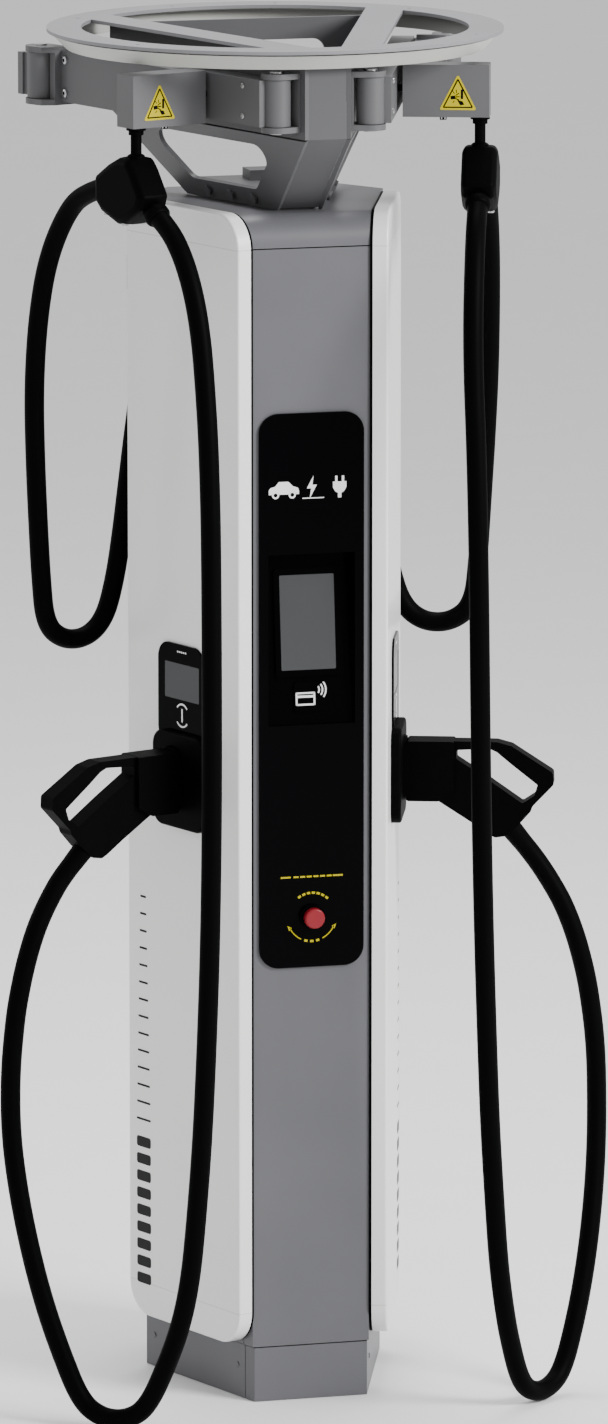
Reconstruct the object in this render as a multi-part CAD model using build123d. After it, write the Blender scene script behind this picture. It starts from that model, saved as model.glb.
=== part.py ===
from build123d import *
import math
import os

# EV charging post with two cable arms. Millimetres, +Z up, origin on the floor under the ring's
# centre. The screen faces -Y. Side B is at +X; side A is its mirror image at -X.

# ---------------------------------------------------------------- driving dimensions
# plan of the post: a front face, two splayed sides, two rear facets and a flat rear
front_half = 102.5        # half the width of the front face
front_y = 237.0           # distance from the axis to the front face
splay = 19.5              # angle of the sides from the Y axis, degrees
side_length = 340.0
rear_half = 109.0
rear_y = 250.0
sheet = 2.0               # thickness of covers

# heights
base_thickness = 12.0
plinth_top = 97.0
seam_gap = 2.0
cap_seam = 2042.0
cap_top = 2098.0
cap_edge_radius = 50.0
casing_offset = 3.0       # outer face of the casing, out from the plinth's sides
cover_return = 28.0       # front cover's fold along each side

# side panels
panel_bottom = 103.0
panel_top = 2101.0
panel_start = -3.5        # along the side, from the front corner
panel_length = 346.0
panel_depth = 27.0
panel_corner = 60.0
panel_skin = 3.0
gasket_depth = 5.0
gasket_width = 14.0
gasket_inset = 1.0

# front fascia, screen and emergency stop
fascia_half = 94.0
fascia_bottom = 777.0
fascia_top = 1755.0
fascia_corner = 35.0
fascia_thickness = 5.0
recess_half = 78.0
recess_bottom = 1207.0
recess_top = 1508.0
recess_depth = 34.0
recess_lean = 5.7         # degrees that the screen leans back
screen_width = 98.0
screen_height = 165.0
screen_centre_z = 1384.0
screen_thickness = 6.0
reader_width = 58.0
reader_height = 52.0
reader_centre_z = 1255.0
stop_z = 867.0
stop_radius = 18.0
stop_travel = 6.0
stop_stem_radius = 8.0
collar_radius = 22.0
collar_height = 6.0

# outlets on the side panels
outlet_s = 175.0          # centre of the connector along the side
meter_half = 69.5
meter_bottom = 1150.0
meter_top = 1331.0
meter_corner = 30.0
meter_thickness = 4.0
display_s = 166.5
display_half = 52.5
display_bottom = 1234.0
display_top = 1296.0
holster_start = 80.0
holster_end = 240.0
holster_bottom = 1007.0
holster_top = 1176.0
holster_corner = 28.0
holster_thickness = 18.0
socket_z = 1094.0
nose_width = 63.0
nose_height = 112.0
nose_corner = 27.0
nose_clearance = 2.0
cup_wall = 4.0
nose_inside = 38.0        # how far the nose reaches into the holster

# connector body: outline in its own upright plane, as (distance from the side, height)
gun_outline = [(58, 1145), (217, 1144), (243, 1137), (316, 1090), (317, 1069), (280, 1030),
               (277, 1021), (255, 996), (233, 976), (214, 973), (203, 979), (171, 1001),
               (113, 1038), (58, 1038)]
grip_outline = [(146, 1129), (204, 1132), (217, 1126), (241, 1106), (289, 1068), (283, 1049),
                (262, 1035), (203, 1076), (146, 1113)]
gun_width = 38.0
gun_neck_width = 56.0
gun_neck_end = 142.0
gun_edge = 7.0
sleeve_radius = 18.8
sleeve_seat = (239, 989)    # in the same plane, inside the handle

# cables
cable_diameter = 35.0
rope_diameter = 19.0
upper_route = [(176, 207, 1880), (181, 204, 1810), (197, 194, 1735), (212, 182, 1650),
               (226, 170, 1565), (239, 160, 1484), (252, 153, 1413), (272, 146, 1344),
               (308, 133, 1312), (355, 116, 1312), (392, 102, 1344), (400, 98, 1430),
               (405, 96, 1520), (411, 91, 1640), (415, 83, 1770), (411, 64, 1900), (400, 30, 2010),
               (377, -30, 2100), (357, -84, 2132), (337, -138, 2147)]
lower_route = [(291, -268, 2121), (274, -316, 2097), (259, -358, 2050), (248, -389, 1988),
               (241, -409, 1915), (238, -424, 1830), (237, -442, 1735), (237, -456, 1600),
               (238, -464, 1430), (239, -469, 1240), (241, -473, 1050), (245, -475, 860),
               (251, -474, 690), (258, -471, 530), (268, -467, 390), (277, -461, 285),
               (290, -449, 205), (308, -426, 133), (337, -396, 46), (369, -372, 19),
               (407, -344, 19), (439, -320, 46), (469, -297, 133), (491, -275, 210),
(510, -252, 300), (525, -228, 400), (533, -206, 500), (532, -199, 605),
               (521, -191, 700), (511, -186, 750), (498, -180, 800), (480, -171, 850),
               (462, -162, 885), (444, -156, 915), (427, -151, 940), (410, -151, 961)]
gland_radius = 24.0
gland_length = 42.0
hood_width = 76.0
hood_height = 84.0

# cable arms
shoulder = (83.0, -318.0)     # hinge axis on side B
elbow_along = 585.0           # elbow axis from the shoulder, along the folded arm
elbow_out = 98.0              # and outwards from it
knuckle_radius = 24.0
knuckle_bottom = 2265.0
knuckle_top = 2345.0
clevis_gap = 1.0              # above and below each knuckle
clevis_plate = 10.0
clevis_radius = 27.0
pin_radius = 8.0
pin_clearance = 0.05
pin_head_radius = 12.0
pin_head = 3.0
link_thickness = 40.0
link_wall = 4.0
inner_link_out = 36.0         # outer face of the inner link, outwards from the shoulder axis
link_gap = 9.0                # between the two folded links
return_start = 613.0
return_thickness = 15.0
outer_link_bottom = 2260.0
outer_link_top = 2350.0
outer_link_end = 556.0
web_thickness = 16.0
box_along = 148.0
box_depth = 50.0
box_length = 150.0
box_bottom = 2258.0
box_top = 2349.0
box_wall = 4.0
rope_xy = (307.0, -223.0)
collar_top = 2258.0
collar_drop = 12.0
collar_flange = 17.0
clamp_outline = [(16, 2208), (-14, 2208), (-31, 2190), (-62, 2145), (-54, 2122), (-2, 2092),
                 (20, 2090), (72, 2108), (92, 2126), (92, 2168), (50, 2193)]
clamp_width = 62.0
clamp_parting = 2113.0
clamp_corner = 6.0

# bracket on the cap, and the ring on the bracket
leg_half = 33.0
leg_foot_y = -160.0
leg_bend_y = -344.0
bend_z = 2242.0
plate = 8.0
base_length = 277.0
rear_foot_reach = 151.0       # how far the rear leg leans back by the bend's height
side_reach = 601.0            # length of the upright upper plate
foot_height = 36.0
strip_width = 55.0
window_top = 130.0
window_corner = 24.0
rear_plate_y = 176.0
rear_window_half = 139.0
rear_window_top = 2356.0
ring_outer = 398.0
ring_inner = 338.0
ring_top = 2400.0
ring_plate_thickness = 6.0
spoke_width = 68.0
spoke_inset = 8.5             # spoke's inner edge, inwards from the upright plate
light_top_radius = 390.0
light_bottom_radius = 366.0
light_bottom = 2366.0
light_top = 2391.0
light_wall = 7.0

# frame and equipment
post = 28.0
rail = 30.0
anchor_x = 170.0
anchor_y = 380.0
anchor_hole = 18.0
cable_entry_radius = 55.0
board_thickness = 3.0
board_bottom = 300.0
board_top = 1900.0

# rear door
door_gap = 0.3
door_bottom = 112.0
door_top = 2030.0
door_return = 16.0
flange = 14.0
hinge_radius = 7.0
hinge_pin = 3.0
hinge_heights = (420.0, 1060.0, 1700.0)
hinge_length = 40.0
lock_z = 1060.0
lock_x = 82.0

os.makedirs("parts", exist_ok=True)

# ---------------------------------------------------------------- frames of reference
sin_s = math.sin(math.radians(splay))
cos_s = math.cos(math.radians(splay))
along = (sin_s, cos_s, 0)
outwards = (cos_s, -sin_s, 0)


def side_xy(s, out):
    """Point of the plan at s along side B from the front corner, and out from its face."""
    return (front_half + s * sin_s + out * cos_s, -front_y + s * cos_s - out * sin_s)


def side_plane(out=0.0):
    """Upright plane on side B: x along the side, y up, z outwards."""
    x, y = side_xy(0, out)
    return Plane(origin=(x, y, 0), x_dir=along, z_dir=outwards)


def gun_plane():
    """Upright plane through the connector: x outwards, y up."""
    x, y = side_xy(outlet_s, 0)
    return Plane(origin=(x, y, 0), x_dir=outwards, z_dir=(-sin_s, -cos_s, 0))


def clamp_plane():
    """Upright plane through the rope: x along the folded arm, y up, z outwards."""
    return Plane(origin=(*rope_xy, 0), x_dir=along, z_dir=outwards)


def arm_xy(a, out):
    """Point of the plan at a along the folded arm from the shoulder axis, and out from it."""
    return (shoulder[0] + a * sin_s + out * cos_s, shoulder[1] + a * cos_s - out * sin_s)


def cross_line(p, q, r, t):
    """Where the line through p and q meets the line through r and t, in the plan."""
    a, b = (q[0] - p[0], q[1] - p[1]), (t[0] - r[0], t[1] - r[1])
    k = ((r[0] - p[0]) * b[1] - (r[1] - p[1]) * b[0]) / (a[0] * b[1] - a[1] * b[0])
    return (p[0] + k * a[0], p[1] + k * a[1])


def shifted(p, q, out):
    """The line through p and q, moved out to its right-hand side."""
    length = math.dist(p, q)
    nx, ny = (q[1] - p[1]) / length * out, -(q[0] - p[0]) / length * out
    return (p[0] + nx, p[1] + ny), (q[0] + nx, q[1] + ny)


def half_plan(front, side, rear):
    """Side B's corners of the post's plan, with each face moved out by its own offset."""
    knee = side_xy(side_length, 0)
    tail = (rear_half, rear_y)
    wall = shifted(side_xy(0, 0), knee, side)
    facet = shifted(knee, tail, side)
    y0, y1 = -front_y - front, rear_y + rear
    return [cross_line(*wall, (0, y0), (1, y0)), cross_line(*wall, *facet),
            cross_line(*facet, (0, y1), (1, y1))]


def mirrored(points):
    return [(-x, y) for x, y in reversed(points)]


def polygon(points):
    return make_face(Polyline(*points, close=True))


def prism(points, z0, z1):
    """Upright prism over a plan outline."""
    return extrude(Pos(0, 0, z0) * polygon(points), amount=z1 - z0, dir=(0, 0, 1))


def slab(plane, points, z0, z1):
    """Prism over an outline drawn in a plane, from z0 to z1 along its normal."""
    normal = plane.z_dir
    return extrude(plane * Pos(0, 0, z0) * polygon(points), amount=z1 - z0, dir=normal)


def rounded(plane, centre, size, radius, z0, z1):
    """Rounded rectangle in a plane, from z0 to z1 along its normal."""
    face = plane * Pos(centre[0], centre[1], z0) * RectangleRounded(*size, radius)
    return extrude(face, amount=z1 - z0, dir=plane.z_dir)


def cylinder(x, y, z0, z1, radius):
    return Pos(x, y, (z0 + z1) / 2) * Cylinder(radius, z1 - z0)


def block(x0, x1, y0, y1, z0, z1):
    return Pos((x0 + x1) / 2, (y0 + y1) / 2, (z0 + z1) / 2) * Box(x1 - x0, y1 - y0, z1 - z0)


def arm_block(a0, a1, out0, out1, z0, z1):
    """Block square to the folded arm."""
    corners = [arm_xy(a0, out0), arm_xy(a1, out0), arm_xy(a1, out1), arm_xy(a0, out1)]
    return prism(corners, z0, z1)


def other_side(shape):
    return mirror(shape, about=Plane.YZ)


def group(*shapes):
    """Separate solids that share one node."""
    return Compound(children=[s for shape in shapes for s in shape.solids()])


def save(name, shape):
    solids = shape.solids()
    export_step(solids[0] if len(solids) == 1 else Compound(children=solids), f"parts/{name}.step")


def save_pair(name, shape):
    """A piece of side B, and its mirror image on side A."""
    save(f"{name}_b", shape)
    save(f"{name}_a", other_side(shape))


# ---------------------------------------------------------------- base and covers
def ring_of_plan(out, width, z0, z1):
    """A closed band that follows the plan, its outer face moved out, and width wide."""
    half_out, half_in = half_plan(out, out, out), half_plan(out - width, out - width, out - width)
    return prism(half_out + mirrored(half_out), z0, z1) - prism(half_in + mirrored(half_in), z0, z1)


def base_plate():
    half = half_plan(-4, -4, -4)
    body = prism(half + mirrored(half), 0, base_thickness)
    for x in (-anchor_x / 2, anchor_x / 2):
        for y in (-anchor_y / 2, anchor_y / 2):
            body -= cylinder(x, y, 0, base_thickness, anchor_hole / 2)
    return body - cylinder(0, 0, 0, base_thickness, cable_entry_radius)


def plinth_front():
    outer, inner = half_plan(0, 0, 0), half_plan(-sheet, -sheet, 0)
    fold = [side_xy(cover_return, 0), side_xy(cover_return, -sheet)]
    half = [outer[0], *fold, inner[0]]
    return prism(half + mirrored(half), 1, plinth_top)


def plinth_covers():
    """Left, right and rear covers round the foot."""
    outer, inner = half_plan(0, 0, 0), half_plan(-sheet, -sheet, -sheet)
    start = cover_return + seam_gap
    side = [side_xy(start, 0), outer[1], outer[2], inner[2], inner[1], side_xy(start, -sheet)]
    right = prism(side, 1, plinth_top)
    for s in (start + 22, side_length - 26):
        right += slab(side_plane(), [(s - 5, 58), (s, 53), (s + 5, 58), (s, 63)], 0, 1.5)
    x = inner[2][0] - seam_gap
    rear = block(-x, x, rear_y - sheet, rear_y, 1, plinth_top)
    return group(right, other_side(right), rear)


def frame_posts():
    """Places of the upright posts, on side B."""
    knee = side_xy(side_length, 0)
    front = -front_y + recess_depth + 5 + post / 2
    return [(front_half - 10, front), (knee[0] - 42, knee[1] - 12), (rear_half - 24, rear_y - 34)]


def inner_frame():
    """Welded frame: two closed rails and six posts."""
    body = ring_of_plan(-sheet - 0.2, rail + 14, base_thickness, base_thickness + rail)
    top = cap_seam - 6
    gap = sheet + 0.3
    half = half_plan(-gap, casing_offset - gap, -gap)
    hole = half_plan(-rail, -rail - 14, -rail)
    body += prism(half + mirrored(half), top - rail, top) - prism(hole + mirrored(hole), top - rail, top)
    for x, y in frame_posts():
        for sx in (-x, x):
            tube = block(sx - post / 2, sx + post / 2, y - post / 2, y + post / 2,
                         base_thickness + rail, top - rail)
            body += tube - block(sx - post / 2 + 2, sx + post / 2 - 2, y - post / 2 + 2,
                                 y + post / 2 - 2, base_thickness + rail, top - rail)
    return body


def front_cover():
    outer = half_plan(0, casing_offset, 0)
    inner = half_plan(-sheet, casing_offset - sheet, 0)
    fold = [side_xy(cover_return, casing_offset), side_xy(cover_return, casing_offset - sheet)]
    points = [outer[0], *fold, inner[0]] + mirrored([outer[0], *fold, inner[0]])
    body = prism(points, plinth_top + seam_gap, cap_seam - seam_gap / 2)
    body -= block(-recess_half - 4, recess_half + 4, -front_y - 1, -front_y + sheet + 1,
                  recess_bottom - 4, recess_top + 4)
    stem = Cylinder(stop_stem_radius + 3, 4 * sheet, rotation=(90, 0, 0))
    return body - Pos(0, -front_y, stop_z) * stem


def cap():
    """Top cover, a shell with its front and rear top edges rounded."""
    half = half_plan(0, casing_offset, 0)
    low = cap_seam + seam_gap / 2
    block_out = prism(half + mirrored(half), low, cap_top)
    ends = [e for e in block_out.edges() if abs(e.center().Z - cap_top) < 0.1
            and abs(abs(e.center().X)) < 0.1]
    block_out = fillet(ends, cap_edge_radius)
    half = half_plan(-3, casing_offset - 3, -3)
    block_in = prism(half + mirrored(half), low, cap_top - 3)
    ends = [e for e in block_in.edges() if abs(e.center().Z - (cap_top - 3)) < 0.1
            and abs(abs(e.center().X)) < 0.1]
    return block_out - fillet(ends, cap_edge_radius - 3)


def side_sheet():
    """Side wall and rear facet in one folded sheet, with a flange beside the door."""
    outer = half_plan(0, casing_offset, 0)
    inner = half_plan(0, casing_offset - sheet, -sheet)
    start = cover_return + 1.5
    tip = outer[2][0] - flange
    points = [side_xy(start, casing_offset), outer[1], outer[2], (tip, rear_y),
              (tip, rear_y - sheet), inner[2], inner[1], side_xy(start, casing_offset - sheet)]
    return prism(points, plinth_top + seam_gap, cap_seam - seam_gap / 2)


# ---------------------------------------------------------------- side panels
panel_out0 = casing_offset + gasket_depth
panel_out1 = panel_out0 + panel_depth
panel_centre = (panel_start + panel_length / 2, (panel_bottom + panel_top) / 2)
panel_size = (panel_length, panel_top - panel_bottom)


def cup_shape(extra, out0, out1):
    """The connector's rounded section, extra larger all round."""
    size = (nose_width + 2 * extra, nose_height + 2 * extra)
    return rounded(side_plane(), (outlet_s, socket_z), size, nose_corner + extra, out0, out1)


def side_panel():
    """Moulded tray: a skin with a wall all round."""
    body = rounded(side_plane(), panel_centre, panel_size, panel_corner, panel_out0, panel_out1)
    rim = [e for e in body.edges() if all(abs(side_plane().to_local_coords(
        Vector(v.X, v.Y, v.Z)).Z - panel_out1) < 0.01 for v in e.vertices())]
    body = fillet(rim, 4)
    size = (panel_size[0] - 2 * panel_skin, panel_size[1] - 2 * panel_skin)
    body -= rounded(side_plane(), panel_centre, size, panel_corner - panel_skin, panel_out0,
                    panel_out1 - panel_skin)
    return body - cup_shape(nose_clearance + cup_wall + 0.3, panel_out0, panel_out1)


def panel_gasket():
    size = (panel_size[0] - 2 * gasket_inset, panel_size[1] - 2 * gasket_inset)
    hole = (size[0] - 2 * gasket_width, size[1] - 2 * gasket_width)
    out0, out1 = casing_offset + 0.2, panel_out0 - 0.1
    body = rounded(side_plane(), panel_centre, size, panel_corner - gasket_inset, out0, out1)
    return body - rounded(side_plane(), panel_centre, hole,
                          panel_corner - gasket_inset - gasket_width, out0, out1)


def meter_fascia():
    height = meter_top - meter_bottom
    body = rounded(side_plane(), (holster_end - meter_half, meter_bottom + height / 2),
                   (2 * meter_half, height), meter_corner, panel_out1, panel_out1 + meter_thickness)
    pocket = rounded(side_plane(), meter_display_centre(), meter_display_size(1), 2,
                     panel_out1 + 1.5, panel_out1 + meter_thickness)
    return body - pocket - holster_block()


def meter_display_centre():
    return (display_s, (display_bottom + display_top) / 2)


def meter_display_size(extra):
    return (2 * (display_half + extra), display_top - display_bottom + 2 * extra)


def meter_display():
    return rounded(side_plane(), meter_display_centre(), meter_display_size(0.8), 2,
                   panel_out1 + 1.5, panel_out1 + meter_thickness - 0.6)


def holster_block():
    size = (holster_end - holster_start, holster_top - holster_bottom)
    centre = ((holster_start + holster_end) / 2, (holster_bottom + holster_top) / 2)
    return rounded(side_plane(), centre, size, holster_corner, panel_out1,
                   panel_out1 + holster_thickness)


def holster():
    """Boss on the panel, with the cup that holds the connector's nose."""
    front = panel_out1 + holster_thickness
    floor = front - nose_inside - 6
    body = holster_block()
    edge = [e for e in body.edges() if side_plane().to_local_coords(e.center()).Z > front - 0.01]
    body = fillet(edge, 5)
    body += cup_shape(nose_clearance + cup_wall, floor - cup_wall, panel_out1)
    return body - cup_shape(nose_clearance, floor, front)


# ---------------------------------------------------------------- front fascia
def recess_outline(extra, depth):
    """Side view of the recess, as (y, z): its back leans with the screen."""
    lean = math.tan(math.radians(recess_lean)) * (recess_top - recess_bottom)
    y = -front_y + depth
    return [(-front_y - fascia_thickness, recess_bottom - extra), (y - lean, recess_bottom - extra),
            (y, recess_top + extra), (-front_y - fascia_thickness, recess_top + extra)]


def across(points, half):
    """Prism across the post over a side-view outline of (y, z) points."""
    face = make_face(Polyline(*[(-half, y, z) for y, z in points], close=True))
    return extrude(face, amount=2 * half, dir=(1, 0, 0))


def front_fascia():
    """Glossy front plate with the recessed tray of the screen behind it."""
    front = Plane(origin=(0, -front_y, 0), x_dir=(1, 0, 0), z_dir=(0, -1, 0))
    centre = (0, (fascia_bottom + fascia_top) / 2)
    body = rounded(front, centre, (2 * fascia_half, fascia_top - fascia_bottom), fascia_corner,
                   0, fascia_thickness)
    body += across(recess_outline(3, recess_depth + 3), recess_half + 3)
    body -= across(recess_outline(0, recess_depth), recess_half)
    return body - Pos(0, -front_y, stop_z) * Cylinder(stop_stem_radius + 0.5, 6 * fascia_thickness,
                                                      rotation=(90, 0, 0))


def lean_plane(z):
    """Plane on the leaning back of the recess: x across, y up the slope, z to the user."""
    t = math.tan(math.radians(recess_lean))
    y = -front_y + recess_depth - (recess_top - z) * t
    c, s = math.cos(math.radians(recess_lean)), math.sin(math.radians(recess_lean))
    return Plane(origin=(0, y, z), x_dir=(1, 0, 0), z_dir=(0, -c, s))


def screen():
    return rounded(lean_plane(screen_centre_z), (0, 0), (screen_width + 24, screen_height + 24), 6,
                   0.1, screen_thickness)


def card_reader():
    return rounded(lean_plane(reader_centre_z), (0, 0), (reader_width, reader_height), 6, 0.1, 5)


def stop_collar():
    face = -front_y - fascia_thickness
    body = Pos(0, face - collar_height / 2, stop_z) * Cylinder(collar_radius, collar_height,
                                                               rotation=(90, 0, 0))
    nut = Pos(0, -front_y + sheet + 6, stop_z) * Cylinder(collar_radius - 2, 8, rotation=(90, 0, 0))
    tube_length = fascia_thickness + sheet + 2.2
    tube = Pos(0, face + tube_length / 2, stop_z) * Cylinder(stop_stem_radius + 0.4, tube_length,
                                                             rotation=(90, 0, 0))
    body = body + tube + nut
    return body - Pos(0, -front_y, stop_z) * Cylinder(stop_stem_radius - 2, 80, rotation=(90, 0, 0))


def stop_button():
    """Mushroom head on a stem that slides in the collar."""
    face = -front_y - fascia_thickness - collar_height
    head_back = face - stop_travel - 1
    head = Pos(0, head_back - 6, stop_z) * Cylinder(stop_radius, 12, rotation=(90, 0, 0))
    head = fillet(head.faces().sort_by(Axis.Y)[0].edges(), 4)
    stem_end = -front_y + 14
    stem = Pos(0, (head_back + stem_end) / 2, stop_z) * Cylinder(stop_stem_radius - 2.1,
                                                                 stem_end - head_back,
                                                                 rotation=(90, 0, 0))
    return head + stem


# ---------------------------------------------------------------- connectors
def gun_shell():
    """Handle with a finger opening, wider at its neck."""
    plane = gun_plane()
    body = slab(plane, gun_outline, -gun_width / 2, gun_width / 2)
    corners = body.edges().filter_by(lambda e: abs(e.length - gun_width) < 0.01)
    body = fillet(corners, gun_edge)
    first = [p for p in gun_outline if p[0] < gun_neck_end]
    top = max(p[1] for p in first)
    neck = slab(plane, [(gun_outline[0][0], top), (gun_neck_end, top), (gun_neck_end, top - 90),
                        (first[-2][0], first[-2][1]), (gun_outline[0][0], first[-1][1])],
                -gun_neck_width / 2, gun_neck_width / 2)
    body += fillet(neck.edges().filter_by(lambda e: abs(e.length - gun_neck_width) < 0.01), 4)
    hole = slab(plane, grip_outline, -gun_neck_width, gun_neck_width)
    hole = fillet(hole.edges().filter_by(lambda e: abs(e.length - 2 * gun_neck_width) < 0.01), 4)
    return body - hole


def gun_nose():
    """Contact carrier that sits in the holster's cup."""
    start = panel_out1 + holster_thickness - nose_inside
    end = gun_outline[0][0]
    body = cup_shape(0, start, end)
    for s, z, r in ((-14, 28, 6), (14, 28, 6), (0, 40, 4), (0, 16, 6), (-14, -30, 9), (14, -30, 9)):
        face = side_plane() * Pos(outlet_s + s, socket_z + z, start) * Circle(r)
        body -= extrude(face, amount=16, dir=outwards)
    return body


def gun_sleeve():
    """Tapered rubber strain relief from the handle to the cable."""
    end = Vector(*lower_route[-1])
    before = Vector(*lower_route[-2])
    axis = (end - before).normalized()
    start = gun_plane().from_local_coords(Vector(*sleeve_seat, 0))
    length = (start - end).length
    cone = Cone(cable_diameter / 2, sleeve_radius, length)
    place = Plane(origin=end + axis * length / 2, z_dir=axis)
    return place * cone - gun_shell()


# ---------------------------------------------------------------- cables
def tube(points, diameter):
    """Straight runs joined by tangent arcs as large as their runs allow."""
    spots = [Vector(*p) for p in points]
    radii = []
    for a, b, c in zip(spots, spots[1:], spots[2:]):
        turn = (b - a).get_angle(c - b)
        radii.append(0.45 * min((b - a).length, (c - b).length) / math.tan(math.radians(turn / 2)))
    path = FilletPolyline(*spots, radius=radii)
    print("cord radii", [round(r) for r in radii], "length", round(path.length))
    section = Plane(origin=path @ 0, z_dir=path % 0) * Circle(diameter / 2)
    body = sweep(section, path=path)
    print("volume share", round(body.volume / (path.length * math.pi * diameter ** 2 / 4), 4))
    return body


def facet_plane():
    """Upright plane on side B's rear facet: x towards the rear, y up, z outwards."""
    knee, tail = side_xy(side_length, 0), (rear_half, rear_y)
    length = math.dist(knee, tail)
    run = ((tail[0] - knee[0]) / length, (tail[1] - knee[1]) / length, 0)
    return Plane(origin=(*knee, 0), x_dir=run, z_dir=(run[1], -run[0], 0))


def cable_gland():
    """Entry hood on the rear facet, with a gland under it."""
    x, y, z = upper_route[0]
    plane = facet_plane()
    local = plane.to_local_coords(Vector(x, y, z))
    low = z + gland_length
    hood = slab(plane, [(local.X - hood_width / 2, low), (local.X + hood_width / 2, low),
                        (local.X + hood_width / 2, low + hood_height * 0.7),
                        (local.X + hood_width / 2 - 20, low + hood_height),
                        (local.X - hood_width / 2 + 20, low + hood_height),
                        (local.X - hood_width / 2, low + hood_height * 0.7)],
                casing_offset + 0.1, local.Z + gland_radius + 3)
    gland = cylinder(x, y, z, low, gland_radius)
    nut = extrude(Pos(x, y, z + 12) * RegularPolygon(gland_radius + 5, 6), amount=16, dir=(0, 0, 1))
    return hood + gland + nut


# ---------------------------------------------------------------- cable arms
def knuckle(a, out, neck):
    """Bored knuckle on a hinge axis, joined to its link by a neck."""
    x, y = arm_xy(a, out)
    body = cylinder(x, y, knuckle_bottom, knuckle_top, knuckle_radius) + neck
    return body - cylinder(x, y, knuckle_bottom, knuckle_top, pin_radius + pin_clearance)


def inner_link():
    """Pressed channel from the shoulder knuckle to the elbow knuckle."""
    near = inner_link_out - link_thickness
    body = arm_block(0, return_start + return_thickness, near, inner_link_out, knuckle_bottom,
                     knuckle_top)
    body -= arm_block(40, return_start - 12, near, inner_link_out - link_wall,
                      knuckle_bottom + link_wall, knuckle_top - link_wall)
    shoulder_end = knuckle(0, 0, arm_block(0, 20, near, 20, knuckle_bottom, knuckle_top))
    tab = arm_block(return_start, return_start + return_thickness, inner_link_out,
                    elbow_out + knuckle_radius - 4, knuckle_bottom + 3, knuckle_top - 3)
    neck = arm_block(elbow_along, return_start, elbow_out - 16, elbow_out + 16, knuckle_bottom + 3,
                     knuckle_top - 3)
    elbow_end = knuckle(elbow_along, elbow_out, neck)
    body = body + tab + elbow_end
    x, y = arm_xy(0, 0)
    body -= cylinder(x, y, knuckle_bottom, knuckle_top, knuckle_radius)
    return body + shoulder_end


def clevis(a, out, back):
    """Two plates over and under a knuckle, on a web that stands back from the axis.

    back holds the plan outlines of the web and of the plates behind the axis.
    """
    x, y = arm_xy(a, out)
    low, high = knuckle_bottom - clevis_gap, knuckle_top + clevis_gap
    body = prism(back["web"], low - clevis_plate, high + clevis_plate)
    for z0 in (low - clevis_plate, high):
        lug = cylinder(x, y, z0, z0 + clevis_plate, clevis_radius) + prism(back["lug"], z0,
                                                                         z0 + clevis_plate)
        body += lug
    return body - cylinder(x, y, low - clevis_plate, high + clevis_plate, pin_radius + pin_clearance)


def outer_link():
    """Channel from the elbow clevis to the square box that carries the rope."""
    near = inner_link_out + link_gap
    far = near + link_thickness
    beam = arm_block(box_along + box_depth, outer_link_end, near, far, outer_link_bottom,
                     outer_link_top)
    beam -= arm_block(box_along + box_depth + 8, outer_link_end - web_thickness, near,
                      far - link_wall, outer_link_bottom + link_wall, outer_link_top - link_wall)
    box = arm_block(box_along, box_along + box_depth, near + 1, near + 1 + box_length, box_bottom,
                    box_top)
    box -= arm_block(box_along + box_wall, box_along + box_depth, near + 1 + box_wall,
                     near + 1 + box_length - box_wall, box_bottom + box_wall, box_top - box_wall)
    lid = arm_block(box_along + box_depth - box_wall, box_along + box_depth, near + 1,
                    near + 1 + box_length, box_bottom, box_top)
    gusset = prism([arm_xy(box_along + box_depth, far - 1),
                    arm_xy(box_along + box_depth + 130, far - 1),
                    arm_xy(box_along + box_depth, far + 66)], box_bottom + 14, box_bottom + 20)
    web = [arm_xy(outer_link_end - web_thickness, near), arm_xy(outer_link_end, near),
           arm_xy(outer_link_end, elbow_out), arm_xy(outer_link_end - web_thickness, elbow_out)]
    lug = [arm_xy(outer_link_end - web_thickness, elbow_out - clevis_radius),
           arm_xy(elbow_along, elbow_out - clevis_radius),
           arm_xy(elbow_along, elbow_out + clevis_radius),
           arm_xy(outer_link_end - 4, elbow_out + clevis_radius - 6),
           arm_xy(outer_link_end - web_thickness, elbow_out)]
    hinge = clevis(elbow_along, elbow_out, {"web": web, "lug": lug})
    x, y = rope_xy
    body = beam + box + lid + gusset + hinge
    return body - cylinder(x, y, box_bottom - 1, box_bottom + box_wall + 1, rope_diameter / 2 + 0.5)


def shoulder_clevis():
    """Clevis bolted on the bracket's upright plate."""
    face = upright_out() + plate + 0.1
    back = -knuckle_radius - 3
    web = [arm_xy(-clevis_radius, face), arm_xy(clevis_radius, face), arm_xy(clevis_radius, back),
           arm_xy(-clevis_radius, back)]
    lug = [arm_xy(-clevis_radius, back), arm_xy(clevis_radius, back), arm_xy(clevis_radius, 0),
           arm_xy(-clevis_radius, 0)]
    return clevis(0, 0, {"web": web, "lug": lug})


def hinge_pin_at(a, out):
    x, y = arm_xy(a, out)
    low = knuckle_bottom - clevis_gap - clevis_plate
    high = knuckle_top + clevis_gap + clevis_plate
    return (cylinder(x, y, low, high, pin_radius) + cylinder(x, y, high, high + pin_head, pin_head_radius)
            + cylinder(x, y, low - pin_head, low, pin_head_radius))


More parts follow.
